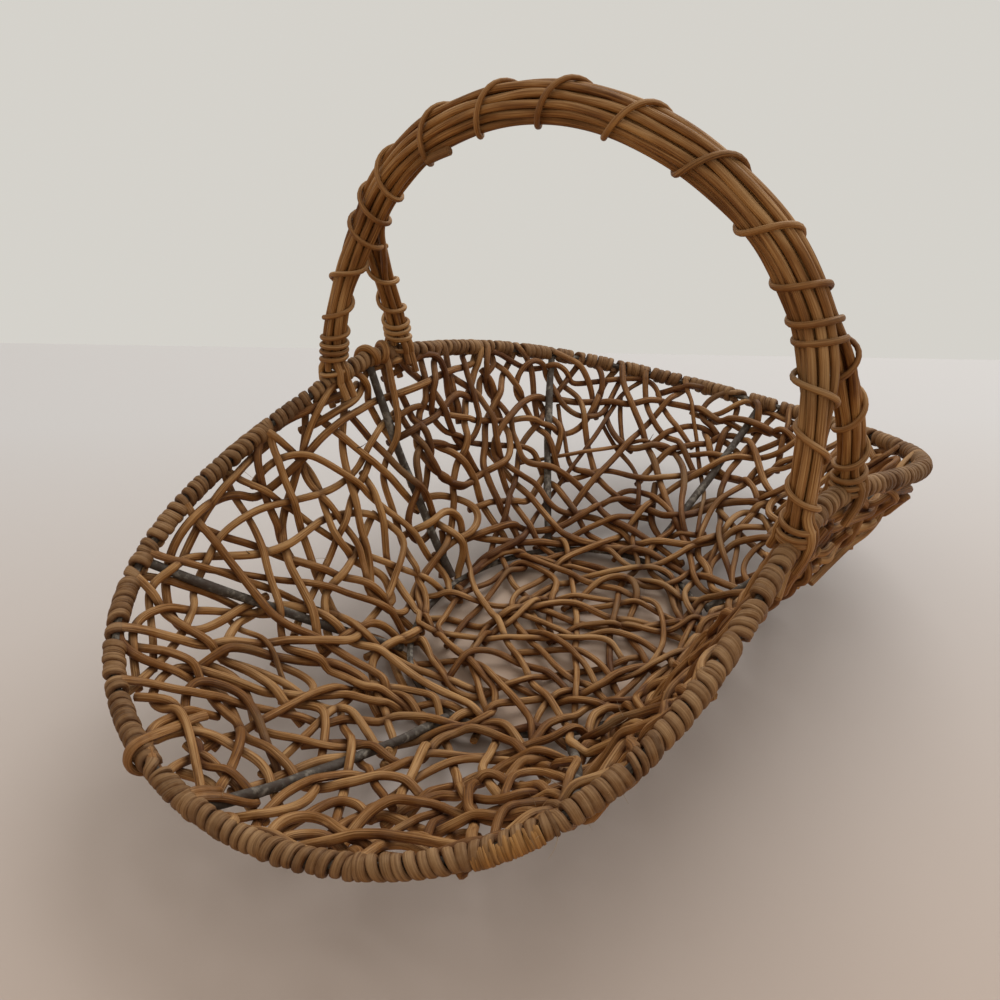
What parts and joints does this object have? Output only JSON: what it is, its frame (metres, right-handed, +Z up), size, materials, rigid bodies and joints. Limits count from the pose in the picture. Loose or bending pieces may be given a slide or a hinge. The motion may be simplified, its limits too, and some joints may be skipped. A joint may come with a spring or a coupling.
{
  "type": "gathering basket",
  "caption": "Flared saddle-shaped basket of loosely woven cane on a wire frame, with a wrapped rim and a high bundled handle that forks into two legs at each side.",
  "frame": {"origin": "on the table, under the middle of the base", "axes": "+X along the basket, away from the nearer end; +Y across it, toward the left side; +Z up"},
  "size_m": [0.4824, 0.2936, 0.2982],
  "materials": {
    "wall_cane": "dry brown cane, loosely woven",
    "wrap_cane": "dusty weathered cane",
    "handle_cane": "smooth worn cane",
    "binding_cane": "weathered binding cane",
    "frame_wire": "dull dark wire with worn flecks"
  },
  "bodies": {
    "root": {"base_ring": "frame_wire", "rim_ring": "frame_wire", "rib_1": "frame_wire", "rib_2": "frame_wire", "rib_3": "frame_wire", "rib_4": "frame_wire", "rib_5": "frame_wire", "rib_6": "frame_wire", "rib_7": "frame_wire", "rib_8": "frame_wire", "base_weave": "wall_cane", "side_weave_1": "wall_cane", "side_weave_2": "wall_cane", "side_weave_3": "wall_cane", "side_weave_4": "wall_cane", "side_weave_5": "wall_cane", "side_weave_6": "wall_cane", "side_weave_7": "wall_cane", "side_weave_8": "wall_cane", "rim_wrap_1": "wrap_cane", "rim_wrap_2": "wrap_cane", "rim_wrap_3": "wrap_cane", "rim_wrap_4": "wrap_cane", "rim_wrap_5": "wrap_cane", "rim_wrap_6": "wrap_cane", "rim_wrap_7": "wrap_cane", "rim_wrap_8": "wrap_cane", "front_handle_cane_1": "handle_cane", "front_handle_cane_2": "handle_cane", "front_handle_cane_3": "handle_cane", "front_handle_cane_4": "handle_cane", "front_handle_cane_5": "handle_cane", "front_handle_cane_6": "handle_cane", "front_handle_cane_7": "handle_cane", "rear_handle_cane_1": "handle_cane", "rear_handle_cane_2": "handle_cane", "rear_handle_cane_3": "handle_cane", "rear_handle_cane_4": "handle_cane", "rear_handle_cane_5": "handle_cane", "rear_handle_cane_6": "handle_cane", "rear_handle_cane_7": "handle_cane", "arch_binding": "binding_cane", "front_left_leg_binding": "binding_cane", "rear_left_leg_binding": "binding_cane", "front_right_leg_binding": "binding_cane", "rear_right_leg_binding": "binding_cane"}
  },
  "joints": []
}
